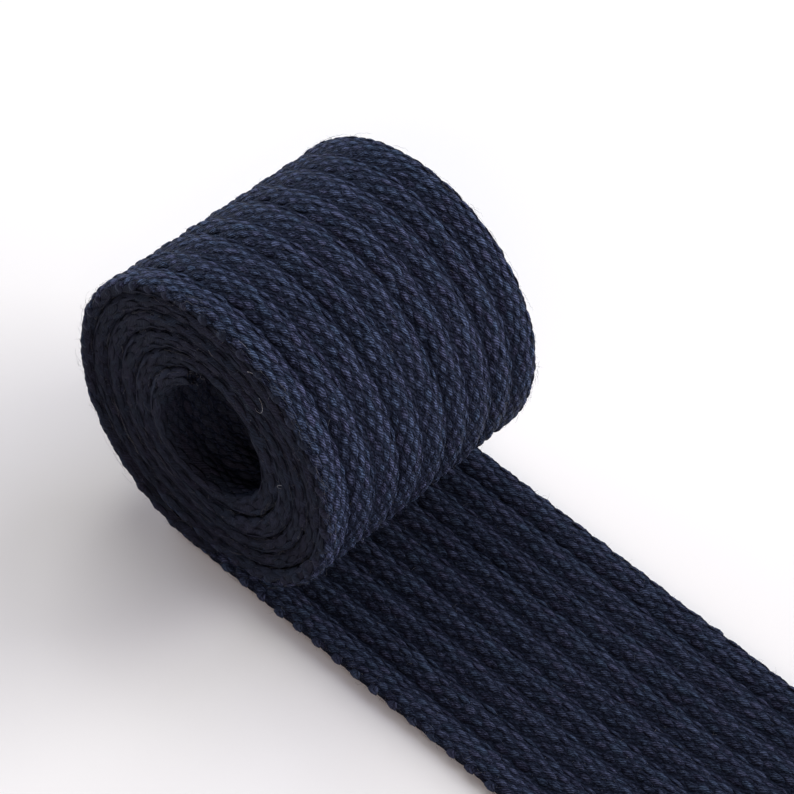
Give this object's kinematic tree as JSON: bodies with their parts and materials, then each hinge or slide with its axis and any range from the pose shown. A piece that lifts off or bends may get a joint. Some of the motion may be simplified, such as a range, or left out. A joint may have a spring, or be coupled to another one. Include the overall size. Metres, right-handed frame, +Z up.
{
  "type": "roll of cotton tape",
  "caption": "Heavy ribbed navy cotton tape, wound into a loose roll that stands on its side, with an open eye and its loose end laid out flat.",
  "frame": {"origin": "the point of the surface below the roll's axis, in the middle of the tape's width, on the flat spot that the roll rests on", "axes": "+X along the loose end, away from the roll; +Y along the roll's axis, across the tape; +Z up"},
  "size_m": [0.1464, 0.05, 0.0571],
  "materials": {
    "navy_cotton": "matt woven cotton in very dark navy, ribbed along its length, with a slight fuzz"
  },
  "bodies": {
    "root": {"tape_roll": "navy_cotton", "loose_end": "navy_cotton"}
  },
  "joints": []
}
